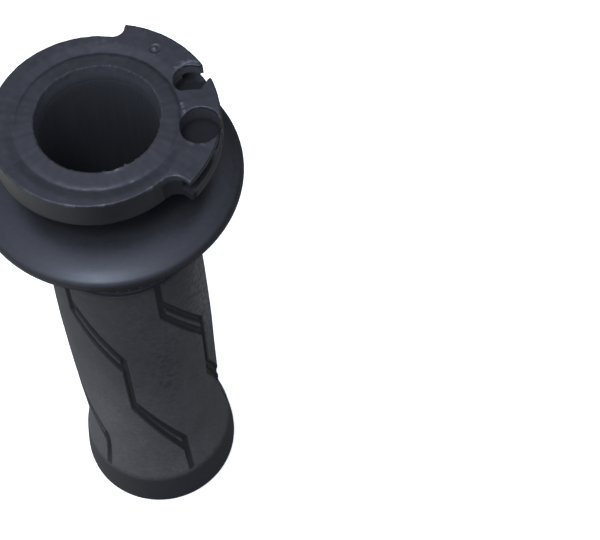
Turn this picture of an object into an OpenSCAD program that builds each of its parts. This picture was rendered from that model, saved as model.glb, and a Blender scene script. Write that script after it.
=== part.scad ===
// Motorcycle throttle grip: a moulded throttle tube with a cable drum, a film of grip cement
// round its sleeve, and a moulded rubber grip over the film. Millimetres.
// +Z runs along the handlebar axis from the outer end to the cable drum. The origin is on that
// axis at the outer end. The two cable pockets are towards +X.

/* [Sleeve] */
// Bore, a running fit on a 22.2 mm (7/8 inch) handlebar
bore_d = 22.6; // [22.4:0.1:22.9]
// Diameter of the bore's mouth at the cable drum
mouth_d = 23.6; // [23.2:0.1:24.2]
// Outside diameter of the sleeve under the rubber
sleeve_d = 25.6; // [25.2:0.1:26]
// Diameter of the neck between the rubber's flange and the cable drum
neck_d = 28.4; // [27.4:0.2:29.4]
// Number of keys along the sleeve that stop the rubber from turning
key_count = 8; // [4:1:12]
// Height of a key above the sleeve
key_height = 0.9; // [0.6:0.1:1.2]
// Width of a key
key_width = 1.8; // [1.2:0.1:2.6]

/* [Cable drum] */
// Height of the drum's flat top above the outer end
drum_top = 138; // [136:0.5:141]
// Thickness of the drum
drum_height = 6; // [5.5:0.5:7]
// Diameter of the drum's plain side at its top edge
disc_d = 38.4; // [38:0.2:39]
// How far the plain side is set off the axis, away from the cables
disc_shift = 0.9; // [0:0.1:1]
// Diameter of the upper lip of the cable sector
lip_d = 45.2; // [44.6:0.2:45.4]
// Diameter of the lower lip of the cable sector
lower_lip_d = 45.6; // [45.2:0.2:46]
// Diameter of the bottom of both cable grooves
cable_bed_d = 41.2; // [40.4:0.2:42]
// Angle at which the sector starts, on the pull cable's side
sector_start = -40.7; // [-46:0.1:-34]
// Angle at which the sector ends, on the return cable's side
sector_end = 77.9; // [70:0.1:84]

/* [Cable pockets] */
// Distance of the pull pocket from the axis
pull_pocket_r = 19.08; // [18.8:0.02:19.2]
// Angle of the pull pocket
pull_pocket_angle = -5.3; // [-8:0.1:-3]
// Diameter of the pull pocket
pull_pocket_d = 7.4; // [7:0.1:7.8]
// Distance of the return pocket from the axis
return_pocket_r = 19.16; // [18.9:0.02:19.4]
// Angle of the return pocket
return_pocket_angle = 26.8; // [25:0.1:29]
// Diameter of the return pocket
return_pocket_d = 6.2; // [5.8:0.1:6.4]

/* [Rubber grip] */
// Greatest diameter of the hand-grip barrel
barrel_d = 32.4; // [31.6:0.2:33.6]
// Diameter of the waist above the flared end
waist_d = 31.6; // [31:0.2:31.8]
// Diameter of the end ring
end_ring_d = 36.5; // [35.5:0.5:38]
// Diameter of the hand-stop flange
flange_d = 52.6; // [50:0.2:56]
// Height of the top of the flange's rim above the outer end
flange_z = 121.2; // [120:0.2:122]
// Thickness of the rubber lip that covers the sleeve's outer end
end_lip = 2; // [1.5:0.5:3]
// Number of small teeth on the collar under the flange
tooth_count = 45; // [20:5:60]

/* [Tread pattern] */
// Number of zigzag lines round the barrel
line_count = 5; // [4:1:6]
// Angle at which the first line starts under the ring groove
line_start = -132.5; // [-160:0.5:-100]
// Turn of the line at each of its two diagonals
line_turn = 36; // [30:1:40]
// Width of a groove
groove_width = 1.3; // [0.8:0.1:1.8]
// Depth of a groove
groove_depth = 0.8; // [0.4:0.1:1]

/* [Hidden] */

$fn = 96;
eps = 0.01;
clear = 1;                              // how far a cutter runs past a surface
root = 0.5;                             // how deep a rib is rooted in the wall it stands on

bore_r = bore_d / 2;
mouth_r = mouth_d / 2;
sleeve_r = sleeve_d / 2;
neck_r = neck_d / 2;
cement_film = 0.15;
cement_past_keys = 4;                   // the film runs on past both ends of the keys
rubber_bore_r = sleeve_r + cement_film;
key_top_r = sleeve_r + key_height;
key_z0 = 8;
key_z1 = 112;

drum_bottom = drum_top - drum_height;
disc_r = disc_d / 2;
lip_r = lip_d / 2;
lower_lip_r = lower_lip_d / 2;
cable_bed_r = cable_bed_d / 2;
disc_draft = 0.3;                       // the plain side widens by this much towards the bottom
disc_shift_angle = 165;                 // direction in which the plain side is set off
disc_centre = polar(disc_shift, disc_shift_angle);
edge_break = 0.3;                       // chamfer on the drum's top edges
hub_top = drum_top + 0.2;               // the hub ring stands a little proud of the drum's top
hub_inner_r = mouth_r + 0.5;
valley_r = 15.5;                        // shallow ring valley between hub ring and drum face
valley_z = drum_top - 0.3;
face_r = 17.4;                          // the drum's flat face starts here
sector_inner_r = sleeve_r + 1;
past_face = 12;                         // angle by which a groove's cutter passes an end face
pull_groove = [drum_top - 3.7, drum_top - 1.2];     // bottom and top of the pull cable's groove
return_groove = [drum_top - 5, drum_top - 2.6];     // and of the return cable's groove
pocket_floor = drum_bottom + 0.6;
pocket_taper = 1.5;                     // height of the cone at a pocket's floor
pocket_floor_ratio = 0.74;              // floor diameter over pocket diameter
return_flat = 2.45;                     // distance of the return pocket's flat from its centre
end_fillet_r = 2.6;                     // concave corner at the sector's start
step_fillet_r = 2.05;                   // concave corner at the sector's end
fillet_root = 5;                        // how far a corner's fillet is rooted in the drum

barrel_r = barrel_d / 2;
waist_r = waist_d / 2;
end_ring_r = end_ring_d / 2;
flange_r = flange_d / 2;
lip_hole_r = bore_r + 0.3;              // the handlebar passes the rubber's end lip
rubber_top = flange_z + 3.1;
ring_groove_z = [99.3, 102.4];
ring_groove_r = barrel_r - 1.3;
collar_r = barrel_r - 0.3;
tooth_length = 10.5;
tooth_width = 1.1;
tooth_top_r = collar_r + 0.8;
flange_root_z = flange_z - 7.5;         // the flange's conical underside meets the collar here
tread_bottom = 14;
flare_z = 21.4;                         // below this height the barrel flares out
diagonal_steps = 4;
upper_diagonals = [[92.6, 72.6], [52.6, 28.3]];     // start and end height of the upper grooves
lower_diagonals = [[87.5, 67.2], [49, 22.5]];       // and of the lower grooves beside them

// Outside of the grip from the outer end up to the ring groove, as [radius, height].
barrel_profile = [
    [end_ring_r - 2.3, 0], [end_ring_r - 1.3, 0.35], [end_ring_r - 0.5, 1.2],
    [end_ring_r - 0.1, 2.4], [end_ring_r, 4.2], [end_ring_r - 0.5, 10],
    [end_ring_r - 1.2, 14.7], [waist_r + 0.7, 18.1], [waist_r + 0.2, 21.4], [waist_r, 26],
    [waist_r + 0.15, 35], [barrel_r - 0.1, 50], [barrel_r, 64], [barrel_r - 0.1, 80],
    [barrel_r - 0.35, 93], [barrel_r - 0.35, ring_groove_z[0]]];

// Flange from the collar round its rim to the land under the drum's neck, as [radius, height].
flange_profile = [
    [collar_r, flange_root_z], [flange_r - 4.5, flange_z - 4.6], [flange_r - 1.5, flange_z - 3.6],
    [flange_r - 0.7, flange_z - 2.2], [flange_r - 0.1, flange_z - 1], [flange_r, flange_z - 0.5],
    [flange_r - 0.1, flange_z], [flange_r - 0.4, flange_z + 0.5],
    [flange_r - 1.3, flange_z + 1], [flange_r - 3.3, flange_z + 1.8],
    [flange_r - 6.3, flange_z + 2.6], [neck_r + 2.3, flange_z + 3], [neck_r + 1, rubber_top]];

function polar(r, a) = [r * cos(a), r * sin(a)];
function barrel_radius(z) = lookup(z, [for (p = barrel_profile) [p[1], p[0]]]);

// A solid of revolution from a list of [radius, height] points that goes from bottom to top.
module turned(profile) {
    low = profile[0][1];
    high = profile[len(profile) - 1][1];
    rotate_extrude() polygon(concat([[0, low]], profile, [[0, high]]));
}

// Straight keys along the sleeve, from inside its wall out to r_top.
module keys(r_top) {
    for (i = [0 : key_count - 1])
        rotate([0, 0, i * 360 / key_count])
            translate([sleeve_r - root, -key_width / 2, key_z0])
                cube([r_top - sleeve_r + root, key_width, key_z1 - key_z0]);
}

// Drum without its sector: flat face, ring valley and raised hub ring round the axis, and the
// plain side, which is set off the axis.
module drum_disc() {
    core_r = disc_r - disc_shift - 2 * edge_break;
    rotate_extrude() polygon([
        [bore_r - clear, drum_bottom], [core_r, drum_bottom], [core_r, drum_top],
        [face_r, drum_top], [valley_r, valley_z], [hub_inner_r, hub_top],
        [bore_r - clear, hub_top]]);
    translate(disc_centre) rotate_extrude() polygon([
        [valley_r, drum_bottom], [disc_r + disc_draft, drum_bottom],
        [disc_r, drum_top - edge_break], [disc_r - edge_break, drum_top],
        [face_r + disc_shift, drum_top], [valley_r, valley_z - disc_shift]]);
}

// Sector of the drum that carries the cables, before its grooves and pockets are cut.
module cable_sector() {
    rotate([0, 0, sector_start]) rotate_extrude(angle = sector_end - sector_start)
        polygon([[sector_inner_r, drum_bottom], [lower_lip_r, drum_bottom],
                 [lower_lip_r, pull_groove[0]], [lip_r, pull_groove[0]],
                 [lip_r, drum_top - edge_break], [lip_r - edge_break, drum_top],
                 [face_r, drum_top], [valley_r, valley_z], [sector_inner_r, valley_z]]);
}

// Cutter for a cable groove between two angles; heights holds its bottom and its top.
module cable_groove(a0, a1, heights) {
    rotate([0, 0, a0]) rotate_extrude(angle = a1 - a0)
        translate([cable_bed_r, heights[0]])
            square([lower_lip_r + clear - cable_bed_r, heights[1] - heights[0]]);
}

// Concave corner between the plain side and an end face of the sector. side is 1 or -1, for
// the face at the end or at the start of the sector. It is drawn with x along the end face.
module corner_fillet(angle, side, r) {
    disc_x = disc_centre * polar(1, angle);
    disc_y = side * (disc_centre * polar(1, angle + 90));
    centre = [disc_x + sqrt(pow(disc_r + r, 2) - pow(r - disc_y, 2)), r];
    inward = ([disc_x, disc_y] - centre) / norm([disc_x, disc_y] - centre);
    translate([0, 0, drum_bottom]) linear_extrude(drum_height - edge_break)
        rotate(angle) scale([1, side]) difference() {
            polygon([[centre[0] - fillet_root, -clear], [centre[0], -clear], centre,
                     centre + inward * (r + clear)]);
            translate(centre) circle(r = r);
        }
}

// Blind pocket for a cable's end piece, open at the drum's top.
module pocket(d) {
    rotate_extrude() polygon([
        [0, pocket_floor], [d / 2 * pocket_floor_ratio, pocket_floor],
        [d / 2, pocket_floor + pocket_taper], [d / 2, hub_top + clear], [0, hub_top + clear]]);
}

module throttle_tube() {
    color([0.19, 0.19, 0.21]) difference() {
        union() {
            translate([0, 0, end_lip]) cylinder(r = sleeve_r, h = drum_bottom - end_lip + clear);
            translate([0, 0, rubber_top]) cylinder(r = neck_r, h = drum_bottom - rubber_top + clear);
            keys(key_top_r);
            drum_disc();
            cable_sector();
            corner_fillet(sector_start, -1, end_fillet_r);
            corner_fillet(sector_end, 1, step_fillet_r);
        }
        translate([0, 0, end_lip - clear]) cylinder(r = bore_r, h = hub_top - end_lip + 2 * clear);
        translate([0, 0, hub_top - (mouth_r - bore_r)])
            cylinder(r1 = bore_r, r2 = mouth_r + eps, h = mouth_r - bore_r + eps);
        cable_groove(sector_start - past_face, pull_pocket_angle, pull_groove);
        cable_groove(return_pocket_angle, sector_end + past_face, return_groove);
        translate(polar(pull_pocket_r, pull_pocket_angle)) pocket(pull_pocket_d);
        translate(polar(return_pocket_r, return_pocket_angle)) intersection() {
            pocket(return_pocket_d);
            translate([-lip_r, -return_flat, 0]) cube([2 * lip_r, lip_r, hub_top + 2 * clear]);
        }
    }
}

// Dried cement between the sleeve and the rubber, with gaps where the keys stand.
module grip_cement() {
    bottom = key_z0 - cement_past_keys;
    length = key_z1 - key_z0 + 2 * cement_past_keys;
    color([0.72, 0.68, 0.56]) difference() {
        translate([0, 0, bottom]) cylinder(r = rubber_bore_r, h = length);
        translate([0, 0, bottom - clear]) cylinder(r = sleeve_r, h = length + 2 * clear);
        keys(rubber_bore_r + clear);
    }
}

// Cutter for a short straight groove between two points of the barrel's surface, each given
// as [angle, height]. Its floor lies groove_depth below the surface.
module stroke(p, q) {
    r0 = barrel_radius(p[1]);
    r1 = barrel_radius(q[1]);
    across = (r0 + r1) * sin((q[0] - p[0]) / 2);
    rise = q[1] - p[1];
    run = norm([across, rise]) + groove_width * 0.9;
    rotate([0, 0, (p[0] + q[0]) / 2]) translate([(r0 + r1) / 2, 0, (p[1] + q[1]) / 2])
        rotate([0, atan((r1 - r0) / rise), 0]) rotate([atan2(rise, across), 0, 0])
            translate([-groove_depth, -run / 2, -groove_width / 2])
                cube([groove_depth + clear, run, groove_width]);
}

// A diagonal groove bends round the barrel, so it is a row of short strokes.
module diagonal(start_angle, heights) {
    at = function (t) [start_angle + t * line_turn, heights[0] + t * (heights[1] - heights[0])];
    for (i = [0 : diagonal_steps - 1])
        stroke(at(i / diagonal_steps), at((i + 1) / diagonal_steps));
}

// One zigzag line: straight, two diagonals side by side, straight, two more, and straight
// down over the flare to the end ring.
module zigzag_line() {
    stroke([0, lower_diagonals[0][0]], [0, ring_groove_z[0] + groove_width]);
    stroke([line_turn, lower_diagonals[1][0]], [line_turn, upper_diagonals[0][1]]);
    stroke([2 * line_turn, flare_z], [2 * line_turn, upper_diagonals[1][1]]);
    stroke([2 * line_turn, tread_bottom], [2 * line_turn, flare_z]);
    for (i = [0, 1]) {
        diagonal(i * line_turn, upper_diagonals[i]);
        diagonal(i * line_turn, lower_diagonals[i]);
    }
}

module collar_teeth() {
    for (i = [0 : tooth_count - 1])
        rotate([0, 0, i * 360 / tooth_count])
            translate([collar_r - root, -tooth_width / 2, ring_groove_z[1]])
                cube([tooth_top_r - collar_r + root, tooth_width, tooth_length]);
}

module rubber_grip() {
    color([0.16, 0.16, 0.17]) difference() {
        union() {
            difference() {
                turned(barrel_profile);
                for (k = [0 : line_count - 1])
                    rotate([0, 0, line_start + k * 360 / line_count]) zigzag_line();
            }
            translate([0, 0, ring_groove_z[0] - eps])
                cylinder(r = ring_groove_r, h = ring_groove_z[1] - ring_groove_z[0] + 2 * eps);
            translate([0, 0, ring_groove_z[1]])
                cylinder(r = collar_r, h = flange_root_z - ring_groove_z[1] + eps);
            turned(flange_profile);
            collar_teeth();
        }
        translate([0, 0, -clear]) cylinder(r = lip_hole_r, h = rubber_top + 2 * clear);
        translate([0, 0, end_lip]) cylinder(r = rubber_bore_r, h = rubber_top);
        keys(key_top_r);
    }
}

throttle_tube();
grip_cement();
rubber_grip();
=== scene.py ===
"""Throttle grip: the looks of the moulded throttle tube, the rubber grip and the cement film
between them, on a pale floor in soft light. Shapes are worked out in millimetres and
turned into metres when a mesh is made."""

import math

import bpy
import numpy as np
from mathutils import Matrix, Vector


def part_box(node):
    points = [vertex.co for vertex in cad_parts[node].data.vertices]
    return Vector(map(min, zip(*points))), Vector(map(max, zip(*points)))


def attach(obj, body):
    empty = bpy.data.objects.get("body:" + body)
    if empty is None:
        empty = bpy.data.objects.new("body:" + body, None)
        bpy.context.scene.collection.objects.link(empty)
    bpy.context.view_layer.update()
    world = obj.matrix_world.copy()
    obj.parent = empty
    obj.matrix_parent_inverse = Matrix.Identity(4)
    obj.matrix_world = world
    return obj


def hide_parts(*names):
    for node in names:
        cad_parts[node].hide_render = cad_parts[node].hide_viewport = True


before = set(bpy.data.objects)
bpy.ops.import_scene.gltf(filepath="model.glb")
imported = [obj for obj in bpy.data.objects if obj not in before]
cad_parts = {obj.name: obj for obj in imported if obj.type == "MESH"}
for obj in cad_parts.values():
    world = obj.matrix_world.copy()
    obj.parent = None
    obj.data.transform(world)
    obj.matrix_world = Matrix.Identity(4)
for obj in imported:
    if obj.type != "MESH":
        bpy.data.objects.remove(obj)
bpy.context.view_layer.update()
MM = 0.001
SEED = 41

# ---------------------------------------------------------------- dimensions, in millimetres

# Heights come from the frame: the hub ring's top, and the flange's top where it meets the neck.
HUB_TOP, RUBBER_TOP = (round(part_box(node)[1][2] / MM, 1) for node in ("throttle_tube", "rubber_grip"))
DRUM_TOP = HUB_TOP - 0.2
DRUM_BOTTOM = DRUM_TOP - 6.0

BORE_R, MOUTH_R, SLEEVE_R, NECK_R = 11.3, 11.8, 12.8, 14.2
MOUTH_FROM = DRUM_TOP - 2.5     # the bore widens from here up to its mouth
LINER_TOP = MOUTH_FROM - 0.5    # the sleeve's bore wall lines the drum's up to here
HUB_R = 15.2                    # the step round the hub ring
DISC_R, LIP_R, LOWER_LIP_R, CABLE_BED_R = 19.3, 22.4, 22.65, 20.6
UPPER_LIP_FROM = 135.2          # the sector's lower lip is below this height
DISC_DRAFT, LIP_DRAFT = 0.05, 0.02      # growth of the radius per millimetre down
DISC_AT = (-0.87, 0.23)         # the drum's plain side is set off the axis
RIM_AT = (0.38, 0.12)           # and so are the sector's lips
SECTOR_START, SECTOR_END = -40.7, 77.9
PULL_GROOVE, RETURN_GROOVE = (134.3, 136.8), (133.0, 135.4)
PULL_AT, PULL_R, PULL_STRETCH, PULL_ANGLE = (19.0, -1.76), 3.72, 0.6, -5.3
RETURN_AT, RETURN_R, RETURN_FLAT, RETURN_ANGLE = (17.11, 8.64), 3.12, 2.45, 26.8
POCKET_FLOOR = 132.55
EJECTOR_AT = (10.5, 15.9)
NUBS = (((15.56, 3.14), 0.17, 0.22), ((16.02, 1.37), 0.15, 0.2))    # place, size and height
KEY_COUNT, KEY_TOP_R, KEY_HALF_WIDTH, KEY_Z = 8, 13.7, 0.9, (8.0, 112.0)

RUBBER_BORE_R, LIP_HOLE_R, END_LIP = 12.95, 11.6, 2.0
RING_GROOVE_Z, RING_GROOVE_R = (99.3, 102.4), 14.8
COLLAR_R, COLLAR_TOP = 15.9, 112.9
TOOTH_COUNT, TOOTH_WIDTH, TOOTH_RISE = 45, 1.1, 0.8
LINE_COUNT, LINE_START, LINE_TURN = 5, -132.5, 36.0
GROOVE_WIDTH, GROOVE_DEPTH, GROOVE_SOFT = 1.3, 0.75, 0.17
UPPER_DIAGONALS = ((92.6, 72.6), (52.6, 28.3))
LOWER_DIAGONALS = ((87.5, 67.2), (49.0, 22.5))
TREAD_BOTTOM, TREAD_TOP = 14.0, 101.2


# ---------------------------------------------------------------- small numeric helpers

def smoothstep(x, low, high):
    t = np.clip((x - low) / (high - low), 0, 1)
    return t * t * (3 - 2 * t)


def ring_noise(angle, waves, seed):
    """Smooth noise round the axis, about -1 to 1; angle is in radians."""
    rng = np.random.default_rng(seed)
    total = np.zeros_like(angle)
    for k in waves:
        total += rng.uniform(0.5, 1) * np.sin(k * angle + rng.uniform(0, 2 * math.pi))
    return total / math.sqrt(len(waves))


def bump_at(x, y, place, size):
    """Soft round spot, 1 in its middle."""
    return np.exp(-((x - place[0]) ** 2 + (y - place[1]) ** 2) / (2 * size * size))


def union_round(a, b, r):
    """Two distance fields joined with a concave fillet of radius r."""
    reach = np.hypot(np.maximum(r - a, 0), np.maximum(r - b, 0))
    return np.maximum(r, np.minimum(a, b)) - reach


def meet_round(a, b, r):
    """Where two distance fields overlap, with a convex edge of radius r."""
    reach = np.hypot(np.maximum(r + a, 0), np.maximum(r + b, 0))
    return np.minimum(-r, np.maximum(a, b)) + reach


def outline_distance(x, y, points):
    """Distance to a closed outline, negative inside it."""
    best = np.full(x.shape, 1e9)
    inside = np.zeros(x.shape, bool)
    for (x0, y0), (x1, y1) in zip(points, points[1:] + points[:1]):
        dx, dy = x1 - x0, y1 - y0
        t = np.clip(((x - x0) * dx + (y - y0) * dy) / (dx * dx + dy * dy), 0, 1)
        best = np.minimum(best, np.hypot(x - x0 - t * dx, y - y0 - t * dy))
        if y0 != y1:
            crosses = ((y0 > y) != (y1 > y)) & (x < dx * (y - y0) / dy + x0)
            inside ^= crosses
    return np.where(inside, -best, best)


def surface_net(field, origin, pitch):
    """Vertices and quads of the zero level of a sampled distance field, negative inside."""
    shape = np.array(field.shape) - 1
    corners = [(i, j, k) for i in (0, 1) for j in (0, 1) for k in (0, 1)]
    inside = field < 0
    count = np.zeros(shape, np.int8)
    for i, j, k in corners:
        count += inside[i:shape[0] + i, j:shape[1] + j, k:shape[2] + k]
    cells = np.argwhere((count > 0) & (count < 8))
    number = np.full(shape, -1, np.int64)
    number[tuple(cells.T)] = np.arange(len(cells))

    total = np.zeros((len(cells), 3))
    hits = np.zeros(len(cells))
    for a in corners:
        for axis in range(3):
            if a[axis]:
                continue
            b = tuple(v + (n == axis) for n, v in enumerate(a))
            fa = field[tuple((cells + a).T)].astype(float)
            fb = field[tuple((cells + b).T)].astype(float)
            crossed = (fa < 0) != (fb < 0)
            t = np.where(crossed, fa / np.where(crossed, fa - fb, 1), 0)
            point = np.array(a, float)[None, :] + t[:, None] * (np.array(b) - a)[None, :]
            total += crossed[:, None] * point
            hits += crossed
    vertices = np.asarray(origin) + pitch * (cells + total / hits[:, None])

    quads = []
    for axis in range(3):
        u, v = (axis + 1) % 3, (axis + 2) % 3
        step = np.eye(3, dtype=int)
        low = np.take(inside, range(shape[axis]), axis)
        high = np.take(inside, range(1, shape[axis] + 1), axis)
        at = np.argwhere(low != high)
        at = at[(at[:, u] > 0) & (at[:, v] > 0) & (at[:, u] < shape[u]) & (at[:, v] < shape[v])]
        leaving = low[tuple(at.T)]
        ring = [number[tuple((at - du * step[u] - dv * step[v]).T)]
                for du, dv in ((0, 0), (1, 0), (1, 1), (0, 1))]
        ring = np.stack(ring, 1)
        quads.append(np.where(leaving[:, None], ring, ring[:, ::-1]))
    return vertices, np.concatenate(quads)


def make_object(name, vertices, faces, material, attributes=None):
    """Smooth-shaded mesh object from vertices in millimetres and quads."""
    mesh = bpy.data.meshes.new(name)
    mesh.vertices.add(len(vertices))
    mesh.vertices.foreach_set("co", (np.asarray(vertices) * MM).astype(np.float32).ravel())
    faces = np.asarray(faces, np.int32)
    mesh.loops.add(faces.size)
    mesh.loops.foreach_set("vertex_index", faces.ravel())
    mesh.polygons.add(len(faces))
    mesh.polygons.foreach_set("loop_start", np.arange(len(faces), dtype=np.int32) * faces.shape[1])
    for key, values in (attributes or {}).items():
        layer = mesh.attributes.new(key, "FLOAT", "POINT")
        layer.data.foreach_set("value", np.asarray(values, np.float32))
    mesh.update(calc_edges=True)
    mesh.validate()
    mesh.shade_smooth()
    mesh.materials.append(material)
    obj = bpy.data.objects.new(name, mesh)
    bpy.context.scene.collection.objects.link(obj)
    return obj


# ---------------------------------------------------------------- materials

def node_material(name):
    material = bpy.data.materials.new(name)
    material.use_nodes = True
    tree = material.node_tree
    return material, tree, tree.nodes["Principled BSDF"]


def feed(tree, socket, value):
    """Links the socket where the value is a socket, and sets it otherwise."""
    if isinstance(value, bpy.types.NodeSocket):
        tree.links.new(value, socket)
    else:
        socket.default_value = value


def add(tree, kind, **inputs):
    """New node with the named inputs fed; an underscore stands for a space."""
    node = tree.nodes.new(kind)
    for key, value in inputs.items():
        feed(tree, node.inputs[key.replace("_", " ")], value)
    return node


def object_place(tree):
    return tree.nodes.new("ShaderNodeTexCoord").outputs["Object"]


def noise(tree, where, scale, detail=3.0, roughness=0.55):
    return add(tree, "ShaderNodeTexNoise", Vector=where, Scale=scale, Detail=detail,
               Roughness=roughness).outputs["Fac"]


def ramp(tree, value, low, high, to_low=0.0, to_high=1.0):
    """The value carried from low..high to to_low..to_high, and held at the ends."""
    node = add(tree, "ShaderNodeMapRange", Value=value, From_Min=low, From_Max=high,
               To_Min=to_low, To_Max=to_high)
    return node.outputs["Result"]


def math_node(tree, operation, a, b):
    node = tree.nodes.new("ShaderNodeMath")
    node.operation = operation
    feed(tree, node.inputs[0], a)
    feed(tree, node.inputs[1], b)
    return node.outputs["Value"]


def times(tree, a, b):
    return math_node(tree, "MULTIPLY", a, b)


def mix_colour(tree, factor, a, b):
    node = tree.nodes.new("ShaderNodeMix")
    node.data_type = "RGBA"
    colour_a, colour_b, mixed = node.inputs[6], node.inputs[7], node.outputs[2]
    feed(tree, node.inputs["Factor"], factor)
    feed(tree, colour_a, a)
    feed(tree, colour_b, b)
    return mixed


def stretched(tree, where, scale):
    return add(tree, "ShaderNodeMapping", Vector=where, Scale=scale).outputs["Vector"]


DUST_AND_WALL_LIGHT = (0.16, 0.16, 0.15, 1)


def grey(level, blue=1.0):
    """Grey with its blue part times blue, and a little of that in its green."""
    return (level, level * (1 + 0.15 * (blue - 1)), level * blue, 1)


def add_bumps(tree, shader, layers):
    """Chain of bump nodes; each layer is (height socket, strength, distance in metres)."""
    normal = None
    for height, strength, distance in layers:
        node = add(tree, "ShaderNodeBump", Height=height, Strength=strength, Distance=distance)
        if normal is not None:
            tree.links.new(normal, node.inputs["Normal"])
        normal = node.outputs["Normal"]
    tree.links.new(normal, shader.inputs["Normal"])


def attribute(tree, name):
    node = tree.nodes.new("ShaderNodeAttribute")
    node.attribute_name = name
    return node.outputs["Fac"]


def moulded_nylon():
    """Glass-filled nylon: satin, slightly mottled, with pale scuffs and fine scratches, painted
    highlights on its edges, dust, painted light on the pocket walls and painted shade in its hollows.
    """
    material, tree, shader = node_material("moulded_nylon")
    where = object_place(tree)
    broad = noise(tree, where, 110, 4)
    mottle = noise(tree, where, 900, 4)
    grain = noise(tree, where, 4200, 2)
    scratches = noise(tree, stretched(tree, where, (900, 5200, 900)), 1, 2)
    painted_shade = attribute(tree, "painted_shade")
    wear_and_highlight_amount = times(tree, attribute(tree, "wear_and_highlight"), ramp(tree, mottle, 0.3, 0.6))
    dusty = times(tree, attribute(tree, "dust_and_wall_light"), ramp(tree, mottle, 0.2, 0.8))
    colour = mix_colour(tree, ramp(tree, broad, 0.3, 0.7), grey(0.011), grey(0.017, 1.05))
    colour = mix_colour(tree, ramp(tree, mottle, 0.5, 0.8, 0, 0.2), colour, grey(0.022, 1.15))
    # pale scuffs, and painted highlights along the near edges and the pockets' rims
    colour = mix_colour(tree, wear_and_highlight_amount, colour, grey(0.8, 1.02))
    # painted shade in the pockets, the pull groove's slot and the scoop
    colour = mix_colour(tree, painted_shade, colour, grey(0.012))
    # dust on the drum's top, and painted light on the upper pocket walls
    colour = mix_colour(tree, dusty, colour, DUST_AND_WALL_LIGHT)
    tree.links.new(colour, shader.inputs["Base Color"])
    rough = ramp(tree, broad, 0.3, 0.7, 0.37, 0.43)
    rough = math_node(tree, "ADD", rough, ramp(tree, scratches, 0.62, 0.75, 0, 0.08))
    rough = math_node(tree, "ADD", rough, times(tree, painted_shade, 0.3))
    tree.links.new(rough, shader.inputs["Roughness"])
    shader.inputs["Specular IOR Level"].default_value = 0.5
    add_bumps(tree, shader, [(broad, 0.2, 0.0003), (mottle, 0.09, 0.0001),
                             (grain, 0.2, 0.00004), (scratches, 0.08, 0.00003)])
    return material


def bore_nylon():
    """The same nylon in the bore and the cable pockets: dull, with painted shade low in the pockets, in
    the slot and in the scoop, and painted light and some dust on the upper pocket walls.
    """
    material, tree, shader = node_material("bore_nylon")
    where = object_place(tree)
    drawn = noise(tree, stretched(tree, where, (1500, 1500, 60)), 1, 3)
    grain = noise(tree, where, 3500, 3)
    colour = mix_colour(tree, drawn, grey(0.032), grey(0.048))
    # painted shade low in the pockets, in the slot and in the scoop
    colour = mix_colour(tree, attribute(tree, "painted_shade"), colour, grey(0.012))
    # painted light on the upper pocket walls, and some dust
    colour = mix_colour(tree, attribute(tree, "dust_and_wall_light"), colour, DUST_AND_WALL_LIGHT)
    tree.links.new(colour, shader.inputs["Base Color"])
    tree.links.new(ramp(tree, grain, 0.3, 0.7, 0.8, 0.92), shader.inputs["Roughness"])
    shader.inputs["Specular IOR Level"].default_value = 0.12
    add_bumps(tree, shader, [(drawn, 0.2, 0.00008), (grain, 0.2, 0.00005)])
    return material


def grip_rubber():
    """Moulded rubber: fine grain, handling marks and a greyish bloom on the barrel."""
    material, tree, shader = node_material("grip_rubber")
    where = object_place(tree)
    broad = noise(tree, where, 70, 4)
    streaks = noise(tree, stretched(tree, where, (260, 260, 120)), 1, 5)
    rubbed = noise(tree, stretched(tree, where, (700, 700, 1500)), 1, 5, 0.7)
    mottle = noise(tree, where, 1100, 4)
    grain = noise(tree, where, 5200, 2)
    specks = noise(tree, where, 2300, 3)
    scuffed = times(tree, attribute(tree, "scuffs"), ramp(tree, rubbed, 0.5, 0.4))
    bloom = times(tree, attribute(tree, "bloom"), ramp(tree, streaks, 0.25, 0.75, 0.7, 1.05))
    bloom = times(tree, bloom, ramp(tree, mottle, 0.3, 0.7, 0.8, 1.15))
    bloom = times(tree, bloom, ramp(tree, scuffed, 0, 1, 1, 0))
    dusty = times(tree, attribute(tree, "dusty"), ramp(tree, rubbed, 0.4, 0.6))
    pale = times(tree, attribute(tree, "bloom"), ramp(tree, specks, 0.66, 0.72))
    colour = mix_colour(tree, ramp(tree, broad, 0.3, 0.7), grey(0.010), grey(0.014))
    colour = mix_colour(tree, ramp(tree, mottle, 0.45, 0.8, 0, 0.4), colour, grey(0.024, 1.1))
    colour = mix_colour(tree, bloom, colour, (0.26, 0.255, 0.235, 1))
    colour = mix_colour(tree, dusty, colour, (0.3, 0.3, 0.28, 1))
    colour = mix_colour(tree, pale, colour, grey(0.35))
    tree.links.new(colour, shader.inputs["Base Color"])
    rough = math_node(tree, "SUBTRACT", ramp(tree, broad, 0.3, 0.7, 0.6, 0.7),
                      times(tree, attribute(tree, "satin"), 0.25))
    tree.links.new(rough, shader.inputs["Roughness"])
    shader.inputs["Specular IOR Level"].default_value = 0.5
    add_bumps(tree, shader, [(broad, 0.2, 0.0004), (mottle, 0.18, 0.0001),
                             (grain, 0.34, 0.00005)])
    return material


def dried_cement():
    """Yellowish dried contact cement, uneven and slightly glossy."""
    material, tree, shader = node_material("dried_cement")
    where = object_place(tree)
    broad = noise(tree, where, 160, 4)
    fine = noise(tree, where, 1500, 3)
    colour = mix_colour(tree, broad, (0.44, 0.36, 0.22, 1), (0.60, 0.53, 0.38, 1))
    tree.links.new(colour, shader.inputs["Base Color"])
    tree.links.new(ramp(tree, fine, 0.3, 0.7, 0.35, 0.6), shader.inputs["Roughness"])
    add_bumps(tree, shader, [(broad, 0.5, 0.0004), (fine, 0.4, 0.0001)])
    return material


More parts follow.
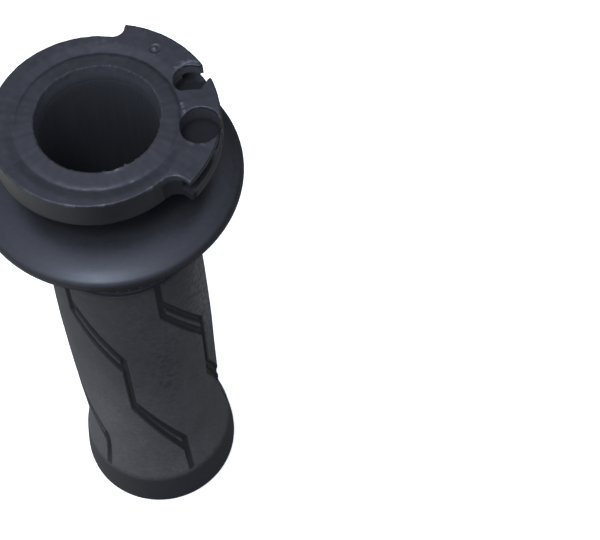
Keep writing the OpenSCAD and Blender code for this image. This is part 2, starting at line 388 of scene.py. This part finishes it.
def pale_floor():
    """Near-white floor that glows a little, so that it stays even under the object."""
    material, tree, shader = node_material("pale_floor")
    mottle = noise(tree, object_place(tree), 30, 3)
    colour = mix_colour(tree, mottle, (0.86, 0.865, 0.87, 1), (0.9, 0.9, 0.9, 1))
    tree.links.new(colour, shader.inputs["Base Color"])
    shader.inputs["Roughness"].default_value = 0.8
    shader.inputs["Emission Color"].default_value = (1, 1, 1, 1)
    shader.inputs["Emission Strength"].default_value = 0.62
    return material


# ---------------------------------------------------------------- throttle tube

def drum_top_height(radius):
    """Height of the drum's top: hub ring, its small step, shallow valley and flat face."""
    section = ((BORE_R, 0.12), (12.1, 0.2), (14.9, -0.07), (15.25, -0.16), (15.55, -0.32),
               (17.2, -0.05), (17.7, 0))
    radii, heights = zip(*section)
    return DRUM_TOP + np.interp(radius, radii, heights)


def return_pocket_outline():
    """Round pocket with a flat near side, opening outwards past the pointed finger."""
    far_corner = (1.56, 2.7)        # where the arc starts, from the pocket's centre
    start = math.degrees(math.atan2(far_corner[1], far_corner[0]))
    stop = 180 + math.degrees(math.asin(RETURN_FLAT / RETURN_R))
    arc = [(RETURN_AT[0] + RETURN_R * math.cos(math.radians(a)),
            RETURN_AT[1] + RETURN_R * math.sin(math.radians(a)))
           for a in np.linspace(start, stop, 40)]
    near_side = [(19.1, 6.19), (19.35, 6.5), (19.55, 6.93), (19.84, 7.37), (20.2, 7.95),
                 (20.37, 8.3), (20.62, 8.56), (20.95, 8.66), (21.25, 8.55), (21.5, 8.2),
                 (24.5, 8.9)]
    far_side = [(22.8, 13.4), (19.66, 11.68), (19.1, 11.5)]
    return arc + near_side + far_side


def pull_pocket_distance(x, y):
    """Round pocket, stretched a little towards the pull cable's groove."""
    along = y - PULL_AT[1]
    along = np.where(along < 0, np.minimum(along + PULL_STRETCH, 0), along)
    return np.hypot(x - PULL_AT[0], along) - PULL_R


def drum_side(x, y, z):
    """Distance field of the drum's outline: the plain disc, and the sector with its two lips."""
    disc = np.hypot(x - DISC_AT[0], y - DISC_AT[1]) - (DISC_R + DISC_DRAFT * (DRUM_TOP - z))
    lips = np.where(z < UPPER_LIP_FROM, LOWER_LIP_R, LIP_R + LIP_DRAFT * (DRUM_TOP - z))
    start, end = math.radians(SECTOR_START), math.radians(SECTOR_END)
    wedge = meet_round(x * math.sin(start) - y * math.cos(start),
                       y * math.cos(end) - x * math.sin(end), 0.2)
    sector = meet_round(np.hypot(x - RIM_AT[0], y - RIM_AT[1]) - lips, wedge, 0.25)
    start_fillet, end_fillet = 2.6, 2.05
    return union_round(disc, sector, np.where(y < 0, start_fillet, end_fillet))


def above_drum_top(x, y, z, radius, angle):
    """Height above the drum's top, with its unevenness, nubs of flash and ejector-pin mark."""
    uneven = 0.02 * ring_noise(angle, (9, 17, 31, 53), SEED)
    step_marks = 0.035 * (1 + ring_noise(angle, (7, 13, 19, 31), SEED + 8))
    step_marks = step_marks * np.exp(-((radius - HUB_R) / 0.3) ** 2)
    above = z - drum_top_height(radius) - uneven + step_marks
    for place, size, height in NUBS:
        above = above - height * bump_at(x, y, place, size)
    ejector = np.hypot(x - EJECTOR_AT[0], y - EJECTOR_AT[1])
    above = above + 0.16 * smoothstep(-ejector, -1.12, -0.92) * smoothstep(ejector, 0.35, 0.55)
    return above - 0.07 * np.exp(-((ejector - 1.25) / 0.13) ** 2)


def cable_groove(x, y, z, heights, blind_end, side):
    """Groove in the sector's rim, on one side of the angle at which it ends in its pocket."""
    radius, degrees = np.hypot(x, y), np.degrees(np.arctan2(y, x))
    bed = CABLE_BED_R - 1.4 * np.exp(-((degrees - RETURN_ANGLE - 8) / 9) ** 2)
    groove = meet_round(np.maximum(heights[0] - z, z - heights[1]), bed - radius, 0.35)
    end = math.radians(blind_end)
    return np.maximum(groove, side * (y * math.cos(end) - x * math.sin(end)))


def cable_pockets(x, y, z):
    """Distance fields of the pull and the return pocket, which narrow towards their floors."""
    taper_height = 1.6
    taper = 1.1 * np.clip((POCKET_FLOOR + taper_height - z) / taper_height, 0, 1) ** 1.6
    below_groove = z < PULL_GROOVE[0] + 0.1
    outer_wall = np.where(below_groove, np.hypot(x, y) - (LOWER_LIP_R - 0.2), -9)
    pull = np.maximum(pull_pocket_distance(x, y), outer_wall) + taper
    pull = meet_round(pull, POCKET_FLOOR - z, 0.9)
    returned = outline_distance(x[:, :, 0], y[:, :, 0], return_pocket_outline())[:, :, None]
    returned = meet_round(returned + 0.4 * taper, POCKET_FLOOR + 0.1 - z, 0.3)
    ragged = 0.05 * np.sin(9 * x + 3 * z) * np.sin(8 * y - 2 * z)
    return pull + ragged, returned + ragged


def bore_radius(y, z, angle):
    """The bore's radius: it widens to the mouth, where scraps of flash hang on its edge."""
    degrees = np.degrees(angle)
    burr = np.maximum(ring_noise(angle, (23, 37, 51, 67), SEED + 1), 0)
    torn = sum(amount * np.exp(-((degrees - at) / spread) ** 2)
               for at, spread, amount in ((-65, 16, 1), (58, 7, 0.6), (-12, 14, 0.4)))
    widening = np.clip((z - MOUTH_FROM) / (DRUM_TOP - MOUTH_FROM), 0, 1)
    r = BORE_R + (MOUTH_R - BORE_R) * widening
    r = r + 0.25 * smoothstep(y, 2, 9) * smoothstep(z, DRUM_TOP - 2, DRUM_TOP)
    r = r - (0.06 + 0.4 * torn) * burr * smoothstep(z, DRUM_TOP - 0.8, DRUM_TOP - 0.3)
    wavy = 0.06 * ring_noise(angle, (5, 11, 19), SEED + 2)
    return r + wavy * smoothstep(z, DRUM_TOP - 1, DRUM_TOP - 0.2)


def head_field(xs, ys, zs):
    """Distance field of the tube's neck and cable drum."""
    x, y = (v[:, :, None] for v in np.meshgrid(xs, ys, indexing="ij"))
    z = zs[None, None, :]
    radius, angle = np.hypot(x, y), np.arctan2(y, x)
    body = meet_round(drum_side(x, y, z), above_drum_top(x, y, z, radius, angle), 0.16)
    body = meet_round(body, DRUM_BOTTOM - z, 0.25)
    neck = np.maximum(radius - NECK_R, z - (DRUM_BOTTOM + 2))
    body = union_round(body, neck, 0.9)
    body = np.maximum(body, RUBBER_TOP + 0.02 - z)
    for heights, blind_end, side in ((PULL_GROOVE, PULL_ANGLE, 1), (RETURN_GROOVE, RETURN_ANGLE, -1)):
        body = np.maximum(body, -cable_groove(x, y, z, heights, blind_end, side))
    for pocket in cable_pockets(x, y, z):
        body = meet_round(body, -pocket, 0.12)
    return np.maximum(body, bore_radius(y, z, angle) - radius)


def scatter(x, y, seed):
    """Irregular 0 to 1 pattern with features of about a millimetre."""
    rng = np.random.default_rng(seed)
    total = np.zeros_like(x)
    for _ in range(14):
        kx, ky = rng.normal(0, 3.2, 2)
        total += np.sin(kx * x + ky * y + rng.uniform(0, 2 * math.pi))
    return smoothstep(total, -1.0, 3.0)


def top_wear_and_highlights(x, y, z, near_top):
    """Pale scuffs on the drum's top, and painted highlights along its edges on the near side and round
    the pockets' rims.
    """
    radius, degrees = np.hypot(x, y), np.degrees(np.arctan2(y, x))
    spots = scatter(x, y, SEED + 3)
    wear_and_highlight = np.zeros(len(x))
    # pale arcs on the bore's rim, the hub's step and the face; those on the step's near side are
    # painted highlights
    for r, half, at, spread, amount in ((11.95, 0.35, -66, 12, 0.4), (12.2, 0.2, 118, 3, 0.2),
                                        (15.4, 0.16, -66, 14, 0.08), (15.4, 0.15, -92, 18, 0.04),
                                        (17.6, 0.8, 82, 10, 0.05)):
        arc = np.exp(-((radius - r) / half) ** 2) * np.exp(-((degrees - at) / spread) ** 2)
        wear_and_highlight = np.maximum(wear_and_highlight, amount * arc)
    # painted highlight along the disc's edge on the near side, strongest towards the front
    edge = np.hypot(x - DISC_AT[0], y - DISC_AT[1]) - DISC_R
    edge = np.exp(-((edge + 0.12) / 0.17) ** 2) * (degrees > -175) * (degrees < -44)
    wear_and_highlight = np.maximum(wear_and_highlight, edge * (0.02 + 0.07 * np.exp(-((degrees + 93) / 12) ** 2)
                                    + 0.06 * np.exp(-((degrees + 60) / 14) ** 2)))
    wear_and_highlight *= 0.1 + 1.4 * scatter(0.6 * x, 0.6 * y, SEED + 7)

    # painted highlight bands by the return pocket, round the pull pocket's rim and along the scoop's
    # edge
    from_return = np.hypot(x - RETURN_AT[0], y - RETURN_AT[1]) - RETURN_R
    crescent = np.exp(-((from_return - 0.6) / 0.55) ** 2) * smoothstep(y - 0.5 * x, 2.2, 3.4)
    crescent = crescent * (0.12 + 0.9 * scatter(1.8 * x, 1.8 * y, SEED + 6))
    wear_and_highlight = np.maximum(wear_and_highlight, 0.2 * crescent * smoothstep(x, 13.6, 15) * (x < 19.4))
    from_pull = pull_pocket_distance(x, y)
    scallops = np.exp(-((from_pull - 0.4) / 0.4) ** 2) * smoothstep(-y, 4.6, 5.4)
    wear_and_highlight = np.maximum(wear_and_highlight, 0.03 * scallops * (0.1 + 1.1 * spots))
    pull_rim = np.exp(-((from_pull - 0.12) / 0.16) ** 2)
    wear_and_highlight = np.maximum(wear_and_highlight, 0.03 * pull_rim * (0.5 + 0.6 * spots))
    scoop_edge = smoothstep(degrees, -56, -50) * smoothstep(-degrees, 39, 41) * (radius > 17.9)
    scoop_edge = scoop_edge * smoothstep(-z, -DRUM_TOP - 0.05, -DRUM_TOP + 0.05)
    wear_and_highlight = np.maximum(wear_and_highlight, 0.035 * scoop_edge)
    for place, size in ((NUBS[0][0], 0.2), (NUBS[1][0], 0.17), ((15.75, 2.3), 0.13)):
        wear_and_highlight = np.maximum(wear_and_highlight, 0.12 * bump_at(x, y, place, size))
    ejector = np.hypot(x - EJECTOR_AT[0] + 0.2, y - EJECTOR_AT[1])
    wear_and_highlight = np.maximum(wear_and_highlight, 0.16 * np.exp(-(ejector / 0.25) ** 2))
    return wear_and_highlight * near_top


def head_marks(v):
    """Pale wear and painted highlights, dust and painted wall light, and painted shade of the head's
    points, and which points have the dull finish.
    """
    x, y, z = v.T
    radius, degrees = np.hypot(x, y), np.degrees(np.arctan2(y, x))
    near_top = smoothstep(z, DRUM_TOP - 0.7, DRUM_TOP - 0.25)
    dust_and_wall_light = 0.09 * smoothstep(y, 8, 16) * scatter(0.5 * x, 0.5 * y, SEED + 5) * near_top
    dust_and_wall_light = np.maximum(dust_and_wall_light, 0.05 * scatter(0.6 * x, 0.6 * y, SEED + 4) * near_top)

    # The scoop is the hollow in the drum's side where the sector starts.
    scoop = smoothstep(degrees, -58, -52) * smoothstep(-degrees, 36, 39)
    scoop = scoop * smoothstep(-z, -DRUM_TOP + 0.8, -DRUM_TOP + 2) * (radius > 17)
    in_scoop = (degrees > -50.5) & (degrees < -38) & (radius > 17.5) & (z < DRUM_TOP - 0.35)
    in_slot = (z > PULL_GROOVE[0] - 0.15) & (z < PULL_GROOVE[1] + 0.05) & (degrees < 0)
    in_slot &= (radius > CABLE_BED_R - 0.2) & (radius < LIP_R - 0.2)
    # painted shade in the scoop and in the pull groove's slot
    painted_shade = np.maximum(0.8 * scoop, 0.7 * in_slot)

    from_pull = pull_pocket_distance(x, y)
    from_pocket = np.minimum(from_pull, outline_distance(x, y, return_pocket_outline()))
    in_pocket = (from_pocket < 0.15) & (z < DRUM_TOP - 0.45)
    # painted shade towards the pocket floors, less of it at the lit end of the pull pocket's floor
    at_floor = smoothstep(-z, -POCKET_FLOOR - 2.4, -POCKET_FLOOR - 1.4)
    lit_floor_end = smoothstep(-y, 2.6, 3.0) * (from_pull < 0.1)
    painted_shade = np.where(in_pocket, at_floor * (0.75 - 0.4 * lit_floor_end), painted_shade)
    # painted light on the pocket walls above their shaded floors
    painted_wall_light = np.where(from_pull < 0.3, 0.03, 0.22)
    dust_and_wall_light = np.where(in_pocket, painted_wall_light * (1 - at_floor), dust_and_wall_light)
    marks = {"wear_and_highlight": top_wear_and_highlights(x, y, z, near_top), "dust_and_wall_light": dust_and_wall_light, "painted_shade": painted_shade}
    return marks, in_pocket | in_slot | in_scoop


def sleeve_rings():
    """Closed section of the sleeve: up its outside, over its top and down its bore."""
    outside = [(SLEEVE_R, z) for z in np.linspace(END_LIP + 0.3, RUBBER_TOP, 120)]
    top = [(BORE_R + 0.2, RUBBER_TOP), (BORE_R + 0.2, LINER_TOP + 0.02), (BORE_R - 0.01, LINER_TOP)]
    inside = [(BORE_R - 0.03, z) for z in np.linspace(LINER_TOP - 0.1, END_LIP + 0.3, 70)]
    outer_end = [(BORE_R + 0.3, END_LIP), (SLEEVE_R - 0.3, END_LIP)]
    return outside + top + inside + outer_end


def lathe(section, segments, displace=None):
    """Closed ring of quads from a closed section; displace(angle, r, z) gives new radii."""
    section = np.asarray(section, float)
    angle = np.arange(segments) * 2 * math.pi / segments
    r = np.repeat(section[:, :1], segments, 1)
    z = np.repeat(section[:, 1:], segments, 1)
    a = np.repeat(angle[None, :], len(section), 0)
    if displace is not None:
        r = displace(a, r, z)
    vertices = np.stack([r * np.cos(a), r * np.sin(a), z], -1).reshape(-1, 3)
    row, col = np.meshgrid(np.arange(len(section)), np.arange(segments), indexing="ij")
    down, side = (row + 1) % len(section), (col + 1) % segments
    quads = np.stack([row * segments + col, row * segments + side,
                      down * segments + side, down * segments + col], -1).reshape(-1, 4)
    return vertices, quads


def with_keys(angle, r, z):
    """Raises the sleeve's straight keys out of its outside."""
    pitch = 2 * math.pi / KEY_COUNT
    across = np.abs((angle + pitch / 2) % pitch - pitch / 2) * SLEEVE_R
    key = smoothstep(-across, -KEY_HALF_WIDTH - 0.1, -KEY_HALF_WIDTH + 0.1)
    key = key * (r > SLEEVE_R - 0.05) * (z > KEY_Z[0]) * (z < KEY_Z[1])
    return r + key * (KEY_TOP_R - 0.05 - SLEEVE_R)


def build_tube(material, bore_material):
    """The sleeve is a lathe shape and the head a surface net; the bore has its own finish."""
    pitch = 0.21
    xs, ys = np.arange(-21.2, 23.6, pitch), np.arange(-23.6, 23.6, pitch)
    zs = np.arange(RUBBER_TOP - 0.6, DRUM_TOP + 1.2, pitch)
    field = head_field(xs, ys, zs).astype(np.float32)
    head, head_faces = surface_net(field, (xs[0], ys[0], zs[0]), pitch)
    marks, dull = head_marks(head)
    sleeve, sleeve_faces = lathe(sleeve_rings(), 288, with_keys)
    vertices = np.concatenate([head, sleeve])
    faces = np.concatenate([head_faces, sleeve_faces + len(head)])
    marks = {key: np.concatenate([marks[key], np.zeros(len(sleeve))]) for key in marks}
    obj = make_object("tube_moulding", vertices, faces, material, marks)
    obj.data.materials.append(bore_material)

    x, y, z = vertices[faces].mean(1).T
    mouth_band = 0.7 + 0.27 * smoothstep(y, 2, 9)
    bore_edge = BORE_R + np.where(z > MOUTH_FROM, mouth_band, 0.25)
    in_bore = (np.hypot(x, y) < bore_edge) & (z < DRUM_TOP + 0.17)
    in_hollow = np.concatenate([dull[head_faces].all(1), np.zeros(len(sleeve_faces), bool)])
    in_mouth = in_bore & (z > MOUTH_FROM - 0.1)
    obj.data.polygons.foreach_set("material_index", (in_bore | in_hollow).astype(np.int32))
    obj.data.polygons.foreach_set("use_smooth", ~in_mouth)      # the torn mouth keeps its edges
    return obj


# ---------------------------------------------------------------- rubber grip

def rubber_section():
    """Closed section of the grip: end lip, end ring, barrel, collar, flange and bore."""
    end_ring = [(LIP_HOLE_R, 0.4), (LIP_HOLE_R + 0.4, 0), (15.9, 0), (16.9, 0.32), (17.7, 1.12),
                (18.12, 2.3), (18.24, 3.8), (18.2, 5.2), (18.02, 7.5), (17.78, 10), (17.6, 11.8)]
    barrel = [(17.46, 12.8), (17.25, 13.6), (17.05, 14.8), (16.5, 18.1), (16.08, 21.4),
              (15.84, 24.4), (15.78, 28), (15.95, 35), (16.13, 50), (16.23, 59), (16.2, 73),
              (16.13, 79.5), (15.97, 86.7), (15.87, 93), (15.85, RING_GROOVE_Z[0])]
    collar = [(RING_GROOVE_R, RING_GROOVE_Z[0] + 0.1), (RING_GROOVE_R, RING_GROOVE_Z[1] - 0.1),
              (COLLAR_R, RING_GROOVE_Z[1]), (COLLAR_R, COLLAR_TOP)]
    flange = [(16.2, 113.8), (17.2, 114.5), (21.8, 116.6), (24.4, 117.3), (25.2, 118.1),
              (25.75, 119.0), (26.1, 119.7), (26.27, 120.25), (26.32, 120.7), (26.2, 121.25),
              (25.85, 121.75), (25.25, 122.2), (24.0, 122.75), (22.6, 123.2), (20.9, 123.62),
              (19.0, 123.95), (17.2, 124.15), (15.6, 124.28), (14.3, RUBBER_TOP),
              (13.25, RUBBER_TOP)]
    bore = [(RUBBER_BORE_R, RUBBER_TOP - 0.3), (RUBBER_BORE_R, END_LIP + 0.2),
            (RUBBER_BORE_R - 0.2, END_LIP), (LIP_HOLE_R, END_LIP - 0.2)]
    return resample(end_ring + barrel + collar + flange + bore)


def resample(points):
    """Evenly walks a closed section, rounds its corners, and thins the long plain bore."""
    points = np.array(points + points[:1], float)
    length = np.concatenate([[0], np.cumsum(np.hypot(*np.diff(points, axis=0).T))])
    step = 0.05
    s = np.arange(0, length[-1], step)
    fine = np.stack([np.interp(s, length, points[:, k]) for k in (0, 1)], 1)
    r, z = fine.T
    on_dome = (z > 122.2) & (r > 15.5)
    on_barrel = (z > 14) & (z < 97) & (r > 15.2)
    in_bore = (z > 3) & (z < 123) & (r < 13.1)

    def blurred(sigma):
        taps = np.arange(-int(4 * sigma / step), int(4 * sigma / step) + 1)
        weight = np.exp(-0.5 * (taps * step / sigma) ** 2)
        return sum(w * np.roll(fine, t, 0) for w, t in zip(weight / weight.sum(), taps))

    tight, loose = blurred(0.16), blurred(0.9)
    merge = np.ones(20) / 20
    share = np.convolve((on_dome | on_barrel).astype(float), merge, "same")[:, None]
    rounded = tight * (1 - share) + loose * share

    spacing = np.where(in_bore, 4.0, np.where(on_barrel, 0.28, 0.22))
    keep = [0]
    for k in range(1, len(rounded)):
        if (k - keep[-1]) * step >= spacing[k] - 1e-9:
            keep.append(k)
    return rounded[keep]


def zigzag_segments():
    """One tread line as straight pieces of (angle, height) from its first angle."""
    turns = [0, LINE_TURN, 2 * LINE_TURN]
    pieces = [((0, LOWER_DIAGONALS[0][0]), (0, TREAD_TOP)),
              ((turns[1], LOWER_DIAGONALS[1][0]), (turns[1], UPPER_DIAGONALS[0][1])),
              ((turns[2], TREAD_BOTTOM), (turns[2], UPPER_DIAGONALS[1][1]))]
    for i in (0, 1):
        for heights in (UPPER_DIAGONALS[i], LOWER_DIAGONALS[i]):
            pieces.append(((turns[i], heights[0]), (turns[i + 1], heights[1])))
    return pieces


def tread_distance(angle, r, z):
    """Distance along the barrel's surface to the nearest tread groove's middle line."""
    best = np.full(angle.shape, 99.0)
    degrees = np.degrees(angle)
    for line in range(LINE_COUNT):
        first = LINE_START + line * 360 / LINE_COUNT
        for (a0, z0), (a1, z1) in zigzag_segments():
            middle = first + (a0 + a1) / 2
            across = np.radians((degrees - middle + 180) % 360 - 180) * r
            half = math.radians((a1 - a0) / 2) * r
            dx, dz = 2 * half, z1 - z0
            t = np.clip(((across + half) * dx + (z - z0) * dz) / (dx * dx + dz * dz), 0, 1)
            best = np.minimum(best, np.hypot(across + half - t * dx, z - z0 - t * dz))
    return best


def with_tread(angle, r, z):
    """Sinks the tread grooves, raises the collar's teeth, and makes the surface uneven."""
    outside = r > 15.2
    barrel = outside & (z > 5) & (z < RING_GROOVE_Z[0])
    distance = tread_distance(angle, r, z)
    half = GROOVE_WIDTH / 2
    groove = smoothstep(-distance, -half - GROOVE_SOFT, -half + GROOVE_SOFT)
    groove = np.where(barrel, groove, 0) * (0.45 + 0.55 * smoothstep(z, TREAD_BOTTOM, 20))
    lip = 0.05 * np.exp(-((distance - half - 0.35) / 0.3) ** 2) * barrel
    pitch = 2 * math.pi / TOOTH_COUNT
    across = np.abs((angle + pitch / 2) % pitch - pitch / 2) * COLLAR_R
    tooth = smoothstep(-across, -TOOTH_WIDTH / 2 - 0.15, -TOOTH_WIDTH / 2 + 0.15)
    tooth = tooth * (r > COLLAR_R - 0.25) * (r < COLLAR_R + 1.2)
    tooth = tooth * (z > RING_GROOVE_Z[1] - 0.02) * (z < COLLAR_TOP + 0.9)
    tooth = tooth * np.clip((COLLAR_R + TOOTH_RISE - r) / TOOTH_RISE, 0, 1)
    wobble = 0.035 * np.sin(3 * angle + 0.09 * z) * np.sin(0.13 * z + 1.3) * barrel
    return r - GROOVE_DEPTH * groove + lip + TOOTH_RISE * tooth + wobble


def rubber_marks(v, distance):
    """Bloom, scuffs and dust of the barrel outside its grooves, and the flange's satin finish."""
    x, y, z = v.T
    angle = np.arctan2(y, x)
    degrees = np.degrees(angle)
    from_groove = distance - GROOVE_WIDTH / 2
    on_barrel = smoothstep(z, 11.7, 14.8) * smoothstep(-z, -100, -98)
    patches = np.sin(2 * angle + 0.03 * z + 0.7) * np.sin(0.05 * z + 2 * angle)
    bloom = 0.125 + 0.03 * patches + 0.1 * smoothstep(-z, -75, -35)
    bloom = bloom + 0.09 * np.exp(-((degrees + 125) / 25) ** 2 - ((z - 40) / 22) ** 2)
    bloom = bloom * on_barrel * smoothstep(from_groove, -0.1, 0.3)
    satin = smoothstep(z, 116.5, 118) * smoothstep(np.hypot(x, y), 13, 14)
    scuffs = 0.12 * on_barrel
    for at, height, spread, tall, amount in ((-66, 66, 13, 17, 0.95), (-75, 84, 9, 8, 0.5),
                                             (52, 60, 20, 18, 0.6), (160, 72, 16, 15, 0.55)):
        spot = np.exp(-((degrees - at) / spread) ** 2 - ((z - height) / tall) ** 2)
        scuffs = np.maximum(scuffs, amount * spot)
    dusty = 0.8 * np.exp(-((degrees + 6) / 22) ** 2 - ((z - 80) / 22) ** 2)
    dusty = dusty * smoothstep(from_groove, 0, 0.3)
    return {"bloom": np.clip(bloom, 0, 1), "satin": satin, "scuffs": scuffs, "dusty": dusty}


def build_rubber(material):
    vertices, faces = lathe(rubber_section(), 600, with_tread)
    x, y, z = vertices.T
    distance = tread_distance(np.arctan2(y, x), np.hypot(x, y), z)
    return make_object("rubber_moulding", vertices, faces, material,
                       rubber_marks(vertices, distance))


# ---------------------------------------------------------------- pieces on the frame

tube = build_tube(moulded_nylon(), bore_nylon())
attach(tube, "root")
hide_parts("throttle_tube")

rubber = build_rubber(grip_rubber())
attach(rubber, "root")
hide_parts("rubber_grip")

cement_material = dried_cement()
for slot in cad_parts["grip_cement"].material_slots:
    slot.material = cement_material

# ---------------------------------------------------------------- floor, light and camera

def build_floor(material):
    """Flat grid just under the grip's outer end."""
    half_side, parts, height = 1200.0, 24, -0.05
    line = np.linspace(-half_side, half_side, parts + 1)
    x, y = np.meshgrid(line, line, indexing="ij")
    vertices = np.stack([x, y, np.full_like(x, height)], -1).reshape(-1, 3)
    row, col = np.meshgrid(np.arange(parts), np.arange(parts), indexing="ij")
    first = (row * (parts + 1) + col).ravel()
    faces = np.stack([first, first + parts + 1, first + parts + 2, first + 1], -1)
    return make_object("floor", vertices, faces, material)


def area_light(name, place, target, size, power, colour):
    data = bpy.data.lights.new(name, "AREA")
    data.shape, data.size, data.energy, data.color = "DISK", size, power, colour
    light = bpy.data.objects.new(name, data)
    bpy.context.scene.collection.objects.link(light)
    turn = (Vector(place) - Vector(target)).to_track_quat("Z", "Y").to_matrix().to_4x4()
    light.matrix_world = Matrix.Translation(place) @ turn


def studio_world():
    """Soft surrounding light: a bluish dome overhead, brighter low down at both sides, and plain
    white where the camera sees it directly."""
    studio = bpy.data.worlds.new("studio")
    studio.use_nodes = True
    tree = studio.node_tree
    where = tree.nodes.new("ShaderNodeTexCoord").outputs["Generated"]
    parts = add(tree, "ShaderNodeSeparateXYZ", Vector=where).outputs
    overhead = tree.nodes.new("ShaderNodeVectorMath")
    overhead.operation = "DOT_PRODUCT"
    dome_axis = (-0.22, -0.34, 0.92)
    feed(tree, overhead.inputs[0], where)
    feed(tree, overhead.inputs[1], dome_axis)
    dome = math_node(tree, "POWER", ramp(tree, overhead.outputs["Value"], 0.1, 1.0), 1.3)
    colour = mix_colour(tree, dome, (0.11, 0.11, 0.113, 1), (1.42, 1.56, 2.1, 1))
    low = ramp(tree, parts["Z"], 0.25, -0.35)
    left, right = ramp(tree, parts["X"], -0.02, -0.6), ramp(tree, parts["X"], 0.25, 0.6)
    for side, level in ((left, 0.56), (right, 0.24)):
        colour = mix_colour(tree, times(tree, side, low), colour, grey(level, 1.02))
    colour = mix_colour(tree, ramp(tree, parts["Z"], -0.88, -0.97), colour, grey(0.03))
    seen = tree.nodes.new("ShaderNodeLightPath").outputs["Is Camera Ray"]
    colour = mix_colour(tree, seen, colour, grey(1.0))
    tree.links.new(colour, tree.nodes["Background"].inputs["Color"])
    return studio


floor = build_floor(pale_floor())
floor.visible_diffuse = floor.visible_glossy = False    # so it throws no light on the object

area_light("soft_key", place=(-0.14, -0.42, 1.1), target=(0, 0, 0.1), size=0.34, power=5,
           colour=(0.7, 0.8, 1.0))

scene = bpy.context.scene
scene.world = studio_world()
scene.view_settings.view_transform = "Standard"


def build_camera():
    """Camera above the grip's near side, at the photograph's angle; place is in metres."""
    tilt, roll = math.radians(59.477), math.radians(-2.165)
    place = (0.036295, -0.184667, 0.393869)
    right = (math.cos(roll), math.sin(roll) * math.sin(tilt), math.sin(roll) * math.cos(tilt))
    up = (-math.sin(roll), math.cos(roll) * math.sin(tilt), math.cos(roll) * math.cos(tilt))
    back = (0, -math.cos(tilt), math.sin(tilt))
    data = bpy.data.cameras.new("camera")
    data.lens, data.sensor_width = 102.42, 36
    data.clip_start, data.clip_end = 0.02, 20
    camera = bpy.data.objects.new("camera", data)
    scene.collection.objects.link(camera)
    turn = Matrix((right, up, back)).transposed().to_4x4()
    camera.matrix_world = Matrix.Translation(place) @ turn
    scene.camera = camera


build_camera()
